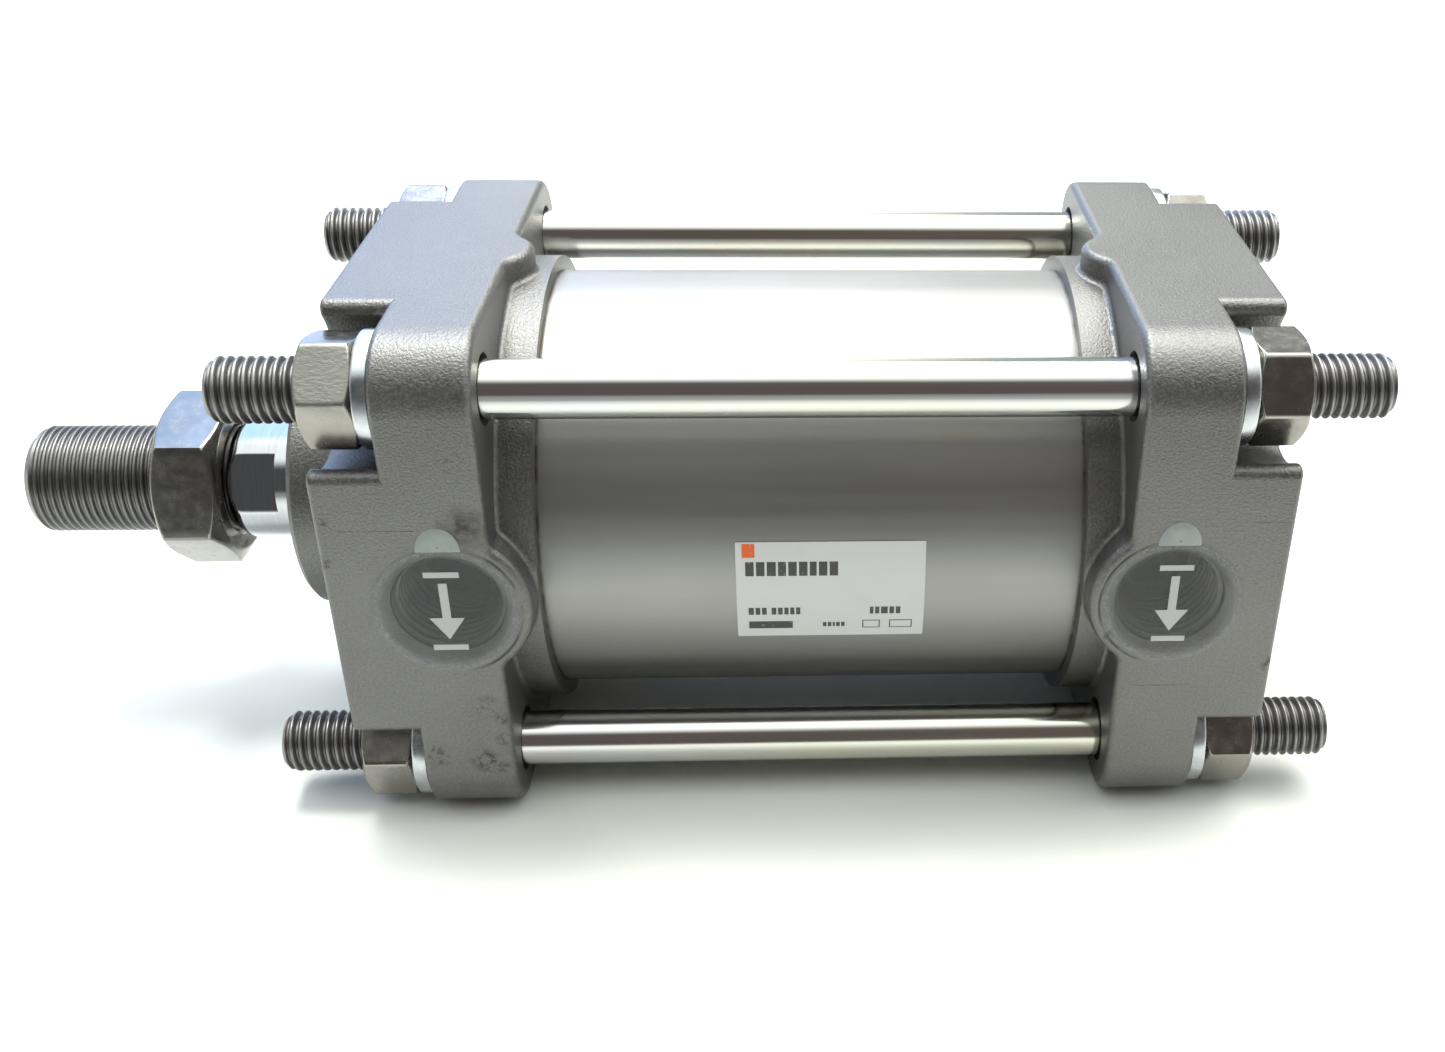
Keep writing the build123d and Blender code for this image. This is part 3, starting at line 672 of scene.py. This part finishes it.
def add_nut(name, node, width, bore, turn, body):
    """Hexagon nut with both ends chamfered, rounded edges and a countersunk thread mouth."""
    low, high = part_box(node)
    if node == "rod_end_nut":
        centre = (0.0, 0.0)
    else:
        rod_low, rod_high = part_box("tie_rod_" + node.split("_end_")[1])
        centre = ((rod_low.y + rod_high.y) / 2, (rod_low.z + rod_high.z) / 2)
    height = high.x - low.x
    scale = width / NUT_WIDTH
    face = width / 2 * NUT_FACE_SHARE
    around = 144
    edge = steps(0, NUT_CHAMFER * scale, NUT_CHAMFER_STEP * scale)
    outer = edge + [height / 2] + [height - x for x in reversed(edge)]
    rounding = NUT_ROUNDING * scale
    mouth = bore + NUT_MOUTH
    rings = [(NUT_MOUTH, bore), (0.0, mouth), (0.0, face - rounding)]
    count_before = len(rings)
    tail = [(height, face - rounding), (height, mouth), (height - NUT_MOUTH, bore)]
    stations = [low.x + x for x, _ in rings] + [low.x + x for x in outer]
    stations += [low.x + x for x, _ in tail]
    turn_angle = math.radians(turn)

    def radius(x, angle, index):
        if index < count_before:
            return rings[index][1]
        if index >= count_before + len(outer):
            return tail[index - count_before - len(outer)][1]
        along = x - low.x
        cone = face + min(along, height - along) / CHAMFER_SLOPE
        side = hexagon_radius(angle, turn_angle, width, rounding)
        lip = face - NUT_LIP * scale + NUT_LIP_SLOPE * min(along, height - along) / CHAMFER_SLOPE
        return smooth_min(side, min(cone, max(lip, face - NUT_LIP)), rounding)

    verts, faces = turned_skin(stations, centre, around, radius)
    last = (len(stations) - 1) * around
    faces += quads_between(0, last, around)
    add_piece(name, verts, faces, FINISHES["nickel_nut"], body, [node], sharp=38)


WASHER_BORE_RADIUS = 6.2 * MM
WASHER_HALF_GAP = 0.7 * MM
WASHER_ROUNDING = 0.55 * MM


def add_spring_washer(node, middle_x):
    """Split ring of rounded square wire, its two ends cut on a slant."""
    low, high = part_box(node)
    corner = node.split("_end_")[1]
    rod_low, rod_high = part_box("tie_rod_" + corner)
    cy = (rod_low.y + rod_high.y) / 2
    cz = (rod_low.z + rod_high.z) / 2
    outer = (high.z - low.z) / 2
    thickness = high.x - low.x
    split_angle = math.radians(-10 if cy < 0 else 190)
    slant = math.tan(math.radians(25)) * (1 if low.x < middle_x else -1)
    outline = rounded_outline(thickness, WASHER_BORE_RADIUS, outer, WASHER_ROUNDING)
    count = len(outline)
    turns = 96
    verts = []
    for i in range(turns + 1):
        for x, r in outline:
            shift = (x - thickness / 2) * slant
            start_angle = split_angle + (WASHER_HALF_GAP + shift) / r
            end_angle = split_angle + TAU - (WASHER_HALF_GAP - shift) / r
            angle = start_angle + (end_angle - start_angle) * i / turns
            verts.append((low.x + x, cy + r * math.cos(angle), cz + r * math.sin(angle)))
    faces = []
    for i in range(turns):
        faces += quads_between(i * count, (i + 1) * count, count)
    faces.append(tuple(reversed(range(count))))
    faces.append(tuple(range(turns * count, turns * count + count)))
    add_piece(
        node + "_ring", verts, faces, FINISHES["zinc_washer"], "barrel", [node], sharp=50
    )


def rounded_outline(thickness, inner, outer, rounding):
    """A rounded rectangle in (x, radius), with five points to each corner."""
    points = []
    corners = (
        (thickness - rounding, outer - rounding, 0),
        (rounding, outer - rounding, 90),
        (rounding, inner + rounding, 180),
        (thickness - rounding, inner + rounding, 270),
    )
    for x, r, start in corners:
        for k in range(5):
            a = math.radians(start + 22.5 * k)
            points.append((x + rounding * math.cos(a), r + rounding * math.sin(a)))
    return points


body_middle = (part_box("cylinder_tube")[0].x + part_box("cylinder_tube")[1].x) / 2
for corner, turns in NUT_TURNS.items():
    for end, turn in zip(("rod_end", "head_end"), turns):
        node = f"tie_rod_nut_{end}_{corner}"
        add_nut(node + "_hexagon", node, NUT_WIDTH, NUT_BORE_RADIUS, turn, "barrel")
        add_spring_washer(f"spring_washer_{end}_{corner}", body_middle)
add_nut(
    "rod_end_nut_hexagon", "rod_end_nut", ROD_NUT_WIDTH, ROD_NUT_BORE_RADIUS, ROD_NUT_TURN, "jam_nut"
)


# Piston rod ---------------------------------------------------------------------

ROD_PITCH = 1.5 * MM
ROD_THREAD_DEPTH = 0.62 * MM
ROD_TIP_CUT = 1.5 * MM
ROD_RADIUS = 12.5 * MM
ROD_THREAD_RADIUS = 11.0 * MM
FLAT_HALF_WIDTH = 11.0 * MM
FLAT_TILT = math.radians(180 - 22)
FLAT_END = -20.5 * MM
ROD_END_TAPER = 2.6 * MM
ROD_END_CUT = 1.9 * MM
SPIGOT_RADIUS = 10.0 * MM
SPIGOT_CHAMFER = 1 * MM
CENTRE_HOLE_DIP = 1.6 * MM
CENTRE_HOLE_DEPTH = 3.2 * MM


def add_rod_thread():
    """The rod's end thread with its chamfered tip and centre hole."""
    low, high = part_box("piston_rod")
    thread_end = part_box("rod_end_nut")[1].x
    around = 112
    grooves = []

    def radius(x, angle, index):
        depth = groove_depth(x, angle, ROD_PITCH)
        grooves.append(depth)
        tip = ROD_THREAD_RADIUS - ROD_TIP_CUT + (x - low.x) * TIP_SLOPE
        return smooth_min(ROD_THREAD_RADIUS - ROD_THREAD_DEPTH * depth, tip, TIP_ROUNDING)

    stations = steps(low.x, thread_end, ROD_PITCH / 12)
    verts, faces = turned_skin(stations, (0, 0), around, radius)
    ring = len(verts)
    face_rings = (0.97, 0.25, 0.16)
    for index, share in enumerate(face_rings):
        dip = CENTRE_HOLE_DIP if index == 2 else 0.0
        r = (ROD_THREAD_RADIUS - ROD_TIP_CUT) * share
        for i in range(around):
            angle = TAU * i / around
            verts.append((low.x + dip, r * math.cos(angle), r * math.sin(angle)))
            # The centre hole takes the roots' painted shade.
            grooves.append(0.15 if index < 2 else 0.8)
        previous = 0 if index == 0 else ring + (index - 1) * around
        faces += quads_between(previous, ring + index * around, around)
    cap(verts, faces, ring + 2 * around, around, (0, 0), low.x + CENTRE_HOLE_DEPTH, False)
    cap(verts, faces, (len(stations) - 1) * around, around, (0, 0), thread_end, True)
    grooves += [0.9, 0.9]
    piece = add_piece(
        "piston_rod_thread", verts, faces, ROD_THREAD, "rod_assembly", sharp=60
    )
    store_groove(piece, grooves)


def add_rod_shaft():
    """The plated shaft: its cone down to the thread, the two wrench flats, and the piston spigot."""
    low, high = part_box("piston_rod")
    thread_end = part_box("rod_end_nut")[1].x
    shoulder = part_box("cushion_ring_front")[0].x
    around = 180
    rounding = 0.25 * MM
    cone_end = thread_end + ROD_END_TAPER
    plain = FLAT_END - 0.02 * MM
    rows = steps(thread_end, cone_end, 0.2 * MM) + steps(cone_end + 0.5 * MM, plain, 1.5 * MM)
    rows += [FLAT_END, FLAT_END + 2 * MM, shoulder]
    spigot_tip = SPIGOT_RADIUS - SPIGOT_CHAMFER
    tail = [(shoulder, SPIGOT_RADIUS), (high.x - SPIGOT_CHAMFER, SPIGOT_RADIUS), (high.x, spigot_tip)]

    def radius(x, angle, index):
        if index >= len(rows):
            return tail[index - len(rows)][1]
        cone = ROD_RADIUS - ROD_END_CUT * (1 - (x - thread_end) / ROD_END_TAPER)
        full = smooth_min(ROD_RADIUS, cone, rounding)
        if x > plain:
            return ROD_RADIUS
        from_flat = abs((angle - FLAT_TILT + math.pi / 2) % math.pi - math.pi / 2)
        return smooth_min(full, FLAT_HALF_WIDTH / math.cos(from_flat), rounding)

    stations = rows + [x for x, _ in tail]
    verts, faces = turned_skin(stations, (0, 0), around, radius)
    cap(verts, faces, 0, around, (0, 0), thread_end, False)
    cap(verts, faces, (len(stations) - 1) * around, around, (0, 0), high.x, True)
    add_piece(
        "piston_rod_shaft", verts, faces, FINISHES["hard_chrome"], "rod_assembly",
        ["piston_rod"], sharp=30,
    )


add_rod_thread()
add_rod_shaft()


# Port threads and films ---------------------------------------------------------

PORT_PITCH = 1.814 * MM
PORT_THREAD_DEPTH = 1.1 * MM
PORT_COUNTERBORE = 2.1 * MM
PORT_THREAD_END_GAP = 0.6 * MM
PORT_WALL_GAP = 0.03 * MM


def add_port_thread(end):
    """The thread's ridges inside a port, from its mouth to the bottom of the tapping."""
    mount = mounts["port_" + end]
    port_x = mount["pos_m"][0]
    wall = mount["dims"]["r_mm"] * MM
    face_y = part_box("rod_cover")[0].y
    start = face_y + PORT_COUNTERBORE
    stop = start + mount["dims"]["length_mm"] * MM - PORT_THREAD_END_GAP
    around = 96
    grooves = []
    verts = []
    rows = steps(start, stop, PORT_PITCH / 12)
    for y in rows:
        for i in range(around):
            angle = TAU * i / around
            depth = groove_depth(y, angle, PORT_PITCH)
            fade = min(1.0, (y - start) / PORT_PITCH)
            r = wall - PORT_WALL_GAP - PORT_THREAD_DEPTH * (1 - depth) * fade
            verts.append((port_x + r * math.cos(angle), y, r * math.sin(angle)))
            grooves.append(depth)
    faces = []
    for index in range(len(rows) - 1):
        faces += quads_between(index * around, (index + 1) * around, around)
    piece = add_piece(
        "port_thread_" + end, verts, faces, PORT_THREAD, "barrel", sharp=60
    )
    store_groove(piece, grooves)


FILM_TAB_RADIUS = 4.0 * MM
FILM_TAB_DROP = 0.9 * MM
FILM_SAG = 0.10 * MM
FILM_RIPPLE = 0.02 * MM
FILM_FRONT_GAP = 0.03 * MM
FILM_BACK_GAP = 0.07 * MM
# Rings of the film's disc: share of its radius, and how much cloudier it is there
FILM_RINGS = ((0.12, 0), (0.3, 0), (0.5, 0), (0.68, 0), (0.82, 0), (0.90, 1), (0.955, 1), (1.0, -0.5))


def add_port_film(end):
    """Thin frosted disc over a port, with its pale pull tab and a white arrow printed on it."""
    node = "port_film_" + end
    body = "film_" + end
    low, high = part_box(node)
    cx = (low.x + high.x) / 2
    radius = (high.x - low.x) / 2
    cz = low.z + radius
    back = high.y
    front = low.y
    around = 120
    verts = [(cx, front + FILM_SAG, cz)]
    for share, _ in FILM_RINGS:
        sag = FILM_SAG * max(0.0, 1 - (share / 0.8) ** 2)
        for i in range(around):
            angle = TAU * i / around
            ripple = FILM_RIPPLE * math.sin(3 * angle + 7 * share)
            y = front + FILM_FRONT_GAP + sag + ripple * (1 - share)
            if share == 1.0:
                y = back - FILM_BACK_GAP
            verts.append((cx + radius * share * math.cos(angle), y, cz + radius * share * math.sin(angle)))
    faces = [(0, 1 + (i + 1) % around, 1 + i) for i in range(around)]
    for index in range(len(FILM_RINGS) - 1):
        faces += quads_between(1 + (index + 1) * around, 1 + index * around, around)
    faces = [tuple(reversed(f)) for f in faces]
    disc = add_piece(
        node + "_disc", verts, faces, FINISHES["port_film"], body, [node], sharp=60
    )
    edge = disc.data.attributes.new("edge", "FLOAT", "POINT")
    edge.data.foreach_set("value", [0] + [cloud for _, cloud in FILM_RINGS for _ in range(around)])
    add_film_tab(node, body, cx, cz + radius, front, back)
    add_film_print(node, body, cx, cz, front)


def add_film_tab(node, body, cx, cz, front, back):
    """The pull tab: a low rounded plate half over the disc's edge."""
    count = 32
    verts = []
    for share, y in ((1.0, back - 0.01 * MM), (0.97, front + 0.02 * MM), (0.5, front), (0.05, front)):
        for i in range(count):
            angle = math.pi * i / (count - 1)
            x = FILM_TAB_RADIUS * share * math.cos(angle)
            z = FILM_TAB_RADIUS * share * math.sin(angle)
            verts.append((cx + x, y, cz + z - FILM_TAB_DROP * (1 - math.sin(angle)) * share))
    faces = []
    for index in range(3):
        faces += quads_between(index * count, (index + 1) * count, count)
    add_piece(node + "_tab", verts, faces, FILM_TAB, body, sharp=60)


def add_film_print(node, body, cx, cz, front):
    """A plain arrow with two bars, in white ink."""
    shapes = [
        [(-0.8, -1.5), (0.8, -1.5), (0.8, 6.0), (-0.8, 6.0)],
        [(-3.2, -1.5), (0.0, -6.2), (3.2, -1.5)],
        [(-3.2, -8.6), (3.2, -8.6), (3.2, -7.4), (-3.2, -7.4)],
        [(-3.2, 7.2), (3.2, 7.2), (3.2, 8.4), (-3.2, 8.4)],
    ]
    verts = []
    faces = []
    for shape in shapes:
        start = len(verts)
        verts += [(cx + x * MM, front, cz + z * MM) for x, z in shape]
        faces.append(tuple(start + i for i in range(len(shape))))
    add_piece(node + "_print", verts, faces, WHITE_INK, body, sharp=60)


for end in ("rod_end", "head_end"):
    add_port_thread(end)
    add_port_film(end)


# Label --------------------------------------------------------------------------


def label_patch(verts, faces, x0, x1, a0, a1, radius):
    """A rectangle on the tube: x from x0 to x1, angle above the front line from a0 to a1."""
    across = 1 + max(1, round((a1 - a0) / 0.02))
    start = len(verts)
    for i in range(across + 1):
        angle = a0 + (a1 - a0) * i / across
        for x in (x0, x1):
            verts.append((x, -radius * math.cos(angle), radius * math.sin(angle)))
    for i in range(across):
        a = start + 2 * i
        faces.append((a, a + 1, a + 3, a + 2))


INK_LIFT = 0.012 * MM
FRAME_LINE = 0.22


def add_label_print():
    low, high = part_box("label")
    skin = abs(low.y) + INK_LIFT
    top = math.asin(high.z / skin)
    inks = {"label_print": ([], []), "label_chip": ([], [])}

    def block(kind, x0, x1, z0, z1):
        """A printed rectangle, measured in mm from the label's top left corner."""
        verts, faces = inks[kind]
        label_patch(
            verts, faces, low.x + x0 * MM, low.x + x1 * MM,
            top - z1 * MM / skin, top - z0 * MM / skin, skin,
        )

    def greeked(x, z0, z1, widths, gap):
        """A line of plain blocks of the given widths; a negative width leaves a space."""
        for width in widths:
            if width > 0:
                block("label_print", x, x + width, z0, z1)
            x += abs(width) + gap

    block("label_chip", 1.2, 3.6, 0.3, 3.1)
    greeked(1.8, 4.0, 7.0, (1.6, 1.6, 1.7, 1.5, 1.6, 1.6, 1.3, 1.6, 1.6), 0.42)
    greeked(2.2, 14.4, 16.2, (1.0, 0.9, 0.9, -0.3, 0.9, 0.9, 0.8, 0.8, 0.8), 0.32)
    greeked(25.4, 14.4, 16.2, (0.7, 0.8, 1.3, 0.9, 0.9), 0.32)
    greeked(2.2, 18.0, 20.0, (8.4,), 0.4)
    greeked(16.4, 18.4, 19.6, (0.7, 0.7, 0.4, 0.7, 0.7), 0.25)
    for x0, x1 in ((24.0, 27.4), (29.2, 33.6)):
        z0, z1 = 17.9, 20.1
        block("label_print", x0, x1, z0, z0 + FRAME_LINE)
        block("label_print", x0, x1, z1 - FRAME_LINE, z1)
        block("label_print", x0, x0 + FRAME_LINE, z0 + FRAME_LINE, z1 - FRAME_LINE)
        block("label_print", x1 - FRAME_LINE, x1, z0 + FRAME_LINE, z1 - FRAME_LINE)
    for name, (verts, faces) in inks.items():
        ink = ORANGE_INK if name == "label_chip" else INK
        add_piece(name, verts, faces, ink, "barrel", sharp=60)


add_label_print()


# Floor and light ----------------------------------------------------------------


FLOOR_HALF = 20.0
FLOOR_CORNERS = ((-1, -1), (1, -1), (1, 1), (-1, 1))
STRIP_TARGET = (0.09, 0, 0)


def add_floor():
    """A pale floor under the cylinder, darker in front of it where only reflections see it: painted shade
    that darkens what the metal parts reflect.
    """
    low, high = cad_bounds
    cx = (low[0] + high[0]) / 2
    mesh = bpy.data.meshes.new("floor")
    mesh.from_pydata(
        [(cx + x * FLOOR_HALF, y * FLOOR_HALF, low[2]) for x, y in FLOOR_CORNERS], [], [(0, 1, 2, 3)]
    )
    s = Shader("floor_paper_with_painted_shade", Roughness=0.7)
    paper = s.mix(s.ramp(s.noise(30, 3.0), 0.3, 0.7), (0.73, 0.738, 0.692, 1), (0.75, 0.758, 0.712, 1))
    # Painted shade: the floor turns dark towards the camera so that the metal parts reflect a darker floor.
    painted_front_shade = s.ramp(s.split(s.place)[1], -0.31, -0.12, 0.88, 0.0)
    s.set("Base Color", s.mix(painted_front_shade, paper, (0.16, 0.16, 0.15, 1)))
    mesh.materials.append(s.material)
    floor = bpy.data.objects.new("floor", mesh)
    bpy.context.scene.collection.objects.link(floor)


def add_area(name, place, size, power, colour):
    data = bpy.data.lights.new(name, "AREA")
    data.shape = "RECTANGLE"
    data.size, data.size_y = size
    data.energy = power
    data.color = colour
    light = bpy.data.objects.new(name, data)
    place = Vector(place)
    light.location = place
    light.rotation_euler = (Vector(STRIP_TARGET) - place).to_track_quat("-Z", "Y").to_euler()
    bpy.context.scene.collection.objects.link(light)


SKY_FAR_LEFT = (0.95, 0.97, 0.98)
SKY_LEFT = (1.25, 1.85, 3.20)
SKY_MIDDLE = (1.92, 2.00, 1.98)
SKY_RIGHT = (0.48, 0.53, 0.55)
FRONT_LEFT = (0.12, 0.12, 0.12)
FRONT_RIGHT = (0.160, 0.130, 0.128)
FRONT_SIDES = (0.35, 0.35, 0.35)


def add_world():
    """A studio with a bright ceiling and back, bluer on the rod's side, and a dark front wall.

    The rise is the angle over the cylinder: 0 in front, 90 degrees overhead and 180 behind.
    """
    world = bpy.data.worlds.new("studio")
    world.use_nodes = True
    tree = world.node_tree
    links = tree.links

    def math_node(operation, a, b):
        node = tree.nodes.new("ShaderNodeMath")
        node.operation = operation
        for socket, value in zip(node.inputs, (a, b)):
            if isinstance(value, bpy.types.NodeSocket):
                links.new(value, socket)
            else:
                socket.default_value = value
        return node.outputs[0]

    def blend(value, low, high, a, b):
        ramp = tree.nodes.new("ShaderNodeMapRange")
        ramp.interpolation_type = "SMOOTHSTEP"
        links.new(value, ramp.inputs["Value"])
        ramp.inputs["From Min"].default_value = low
        ramp.inputs["From Max"].default_value = high
        mix = tree.nodes.new("ShaderNodeMix")
        mix.data_type = "RGBA"
        links.new(ramp.outputs["Result"], mix.inputs[0])
        for socket, colour in zip((mix.inputs[6], mix.inputs[7]), (a, b)):
            if isinstance(colour, bpy.types.NodeSocket):
                links.new(colour, socket)
            else:
                socket.default_value = (*colour, 1)
        return mix.outputs[2]

    direction = tree.nodes.new("ShaderNodeTexCoord").outputs["Generated"]
    split = tree.nodes.new("ShaderNodeSeparateXYZ")
    links.new(direction, split.inputs[0])
    x, y, z = split.outputs
    rise = math_node("ARCTAN2", z, math_node("MULTIPLY", y, -1.0))
    left = blend(rise, math.radians(98), math.radians(118), SKY_MIDDLE, SKY_LEFT)
    left = blend(x, -0.72, -0.50, SKY_FAR_LEFT, left)
    sky = blend(x, -0.36, 0.0, left, SKY_MIDDLE)
    right_back = blend(rise, math.radians(115), math.radians(138), SKY_MIDDLE, SKY_RIGHT)
    sky = blend(x, 0.04, 0.17, sky, right_back)
    front = blend(x, -0.12, 0.10, FRONT_LEFT, FRONT_RIGHT)
    front = blend(math_node("ABSOLUTE", x, 0.0), 0.45, 0.75, front, FRONT_SIDES)
    colour = blend(rise, math.radians(42), math.radians(66), front, sky)
    links.new(colour, tree.nodes["Background"].inputs["Color"])
    bpy.context.scene.world = world


def add_light():
    add_world()
    add_area("strip", (0.42, 0.48, 1.04), (1.62, 0.62), 20, (1.0, 0.99, 0.96))
    add_area("strip_left", (-0.14, 0.20, 1.12), (0.34, 0.28), 10, (1.0, 1.0, 0.96))


add_floor()
add_light()
bpy.context.scene.view_settings.view_transform = "Standard"
